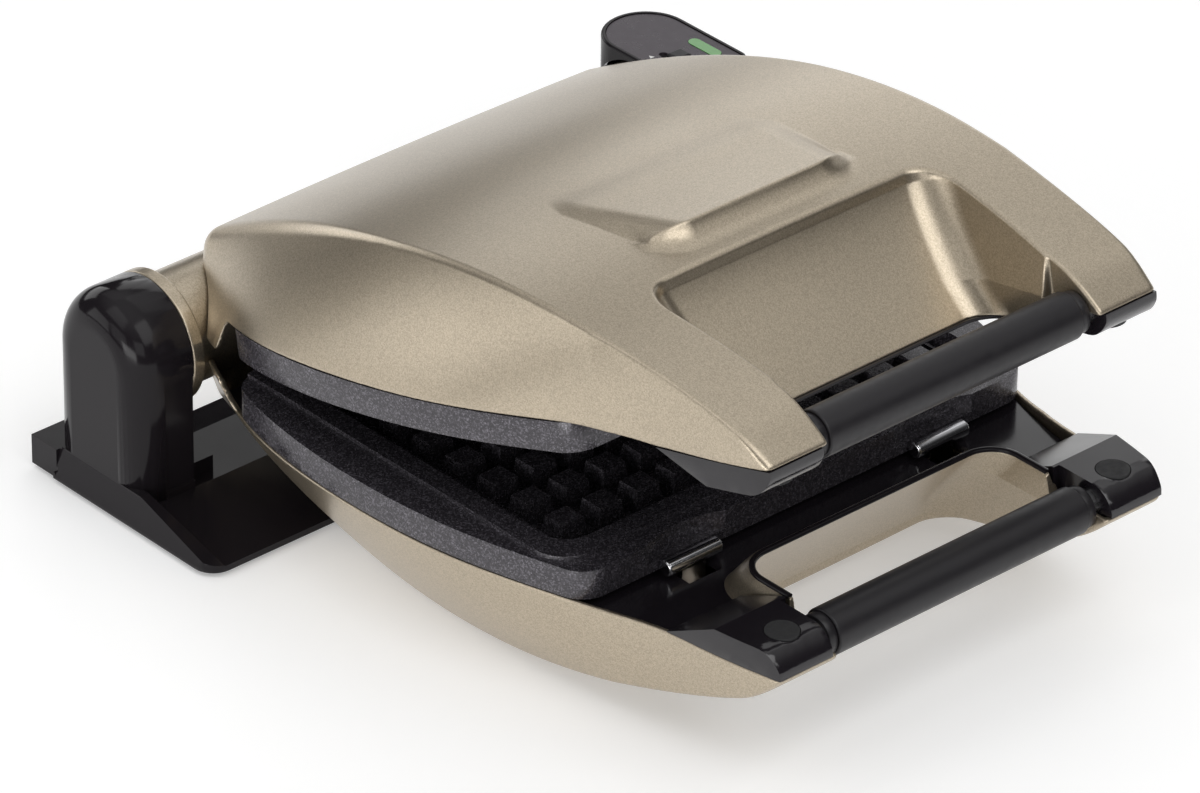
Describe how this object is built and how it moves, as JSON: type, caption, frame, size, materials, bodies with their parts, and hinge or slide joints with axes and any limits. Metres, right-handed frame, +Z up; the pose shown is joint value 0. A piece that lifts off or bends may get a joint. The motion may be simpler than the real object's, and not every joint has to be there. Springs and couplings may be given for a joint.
{
  "type": "turn-over waffle maker",
  "caption": "Hinged two-plate waffle maker that turns over on a swivel stand, with a tube handle on each half and lift-out patterned plates.",
  "frame": {"origin": "on the table, under the middle of the closed appliance's footprint; the swivel axis is 137.75 mm behind it", "axes": "+X to the right as seen from the front, +Y to the rear, +Z up; the handles point to -Y"},
  "size_m": [0.3118, 0.3504, 0.1626],
  "materials": {
    "champagne": "metallic champagne lacquer, satin",
    "black_gloss": "piano black, high gloss",
    "plate_coating": "non-stick coating with fine sparkle",
    "soft_black": "satin soft black",
    "steel": "plain steel",
    "clip_metal": "dark polished metal",
    "heater_sheath": "oxidised steel sheath",
    "aluminised": "aluminised sheet",
    "ceramic": "fired ceramic",
    "rubber": "black rubber",
    "bush": "natural nylon",
    "panel": "dark grey-violet panel",
    "lens_green": "green lens",
    "bulb": "neon lamp",
    "white_plastic": "terminal plastic"
  },
  "bodies": {
    "stand": {"base_plate": "black_gloss", "base_cover": "soft_black", "base_screws": "steel", "rubber_feet": "rubber", "cable_gland": "rubber", "post_left": "black_gloss", "post_right": "black_gloss", "swivel_bush_left": "bush", "swivel_bush_right": "bush", "console_housing": "black_gloss", "console_panel": "panel", "lamp_lens": "lens_green", "lamp": "bulb", "thermostat": "white_plastic", "terminal_block": "white_plastic"},
    "lower_half": {"lower_shell": "champagne", "lower_deck": "black_gloss", "lower_waffle_plate": "plate_coating", "lower_heater": "heater_sheath", "lower_reflector": "aluminised", "lower_heater_supports": "ceramic", "lower_thermal_fuse": "ceramic", "lower_grip": "soft_black", "lower_handle_rod": "steel", "lower_grip_collars": "soft_black", "lower_bumper_pads": "rubber", "lower_hinge_barrel": "champagne", "hinge_pin_left": "steel", "hinge_pin_right": "steel", "swivel_ring_left": "champagne", "swivel_ring_right": "champagne"},
    "upper_half": {"upper_shell": "champagne", "upper_deck": "black_gloss", "upper_waffle_plate": "plate_coating", "upper_heater": "heater_sheath", "upper_reflector": "aluminised", "upper_heater_supports": "ceramic", "upper_thermal_fuse": "ceramic", "upper_grip": "soft_black", "upper_handle_rod": "steel", "upper_grip_collars": "soft_black", "upper_bumper_pads": "rubber", "upper_knuckle_left": "champagne", "upper_knuckle_right": "champagne"},
    "lower_clip_left": {"lower_clip_left": "clip_metal"},
    "lower_clip_right": {"lower_clip_right": "clip_metal"},
    "upper_clip_left": {"upper_clip_left": "clip_metal"},
    "upper_clip_right": {"upper_clip_right": "clip_metal"},
    "thermostat_slider": {"thermostat_slider": "soft_black"}
  },
  "joints": [
    {"name": "flip", "type": "hinge", "parent": "stand", "child": "lower_half", "pos_m": [0, 0.13775, 0.0615], "axis": [-1, 0, 0], "range_deg": [0, 180]},
    {"name": "lid", "type": "hinge", "parent": "lower_half", "child": "upper_half", "pos_m": [0, 0.13775, 0.0615], "axis": [1, 0, 0], "range_deg": [-80, 11.4]},
    {"name": "lower_clip_left_release", "type": "slide", "parent": "lower_half", "child": "lower_clip_left", "axis": [0, -1, 0], "range_m": [0, 0.003], "stiffness_N_per_m": 500, "springref_m": -0.002},
    {"name": "lower_clip_right_release", "type": "slide", "parent": "lower_half", "child": "lower_clip_right", "axis": [0, -1, 0], "range_m": [0, 0.003], "stiffness_N_per_m": 500, "springref_m": -0.002},
    {"name": "upper_clip_left_release", "type": "slide", "parent": "upper_half", "child": "upper_clip_left", "axis": [0, -0.9803, 0.1977], "range_m": [0, 0.003], "stiffness_N_per_m": 500, "springref_m": -0.002},
    {"name": "upper_clip_right_release", "type": "slide", "parent": "upper_half", "child": "upper_clip_right", "axis": [0, -0.9803, 0.1977], "range_m": [0, 0.003], "stiffness_N_per_m": 500, "springref_m": -0.002},
    {"name": "browning_slider", "type": "slide", "parent": "stand", "child": "thermostat_slider", "axis": [0, -1, 0], "range_m": [-0.006, 0.006]}
  ]
}
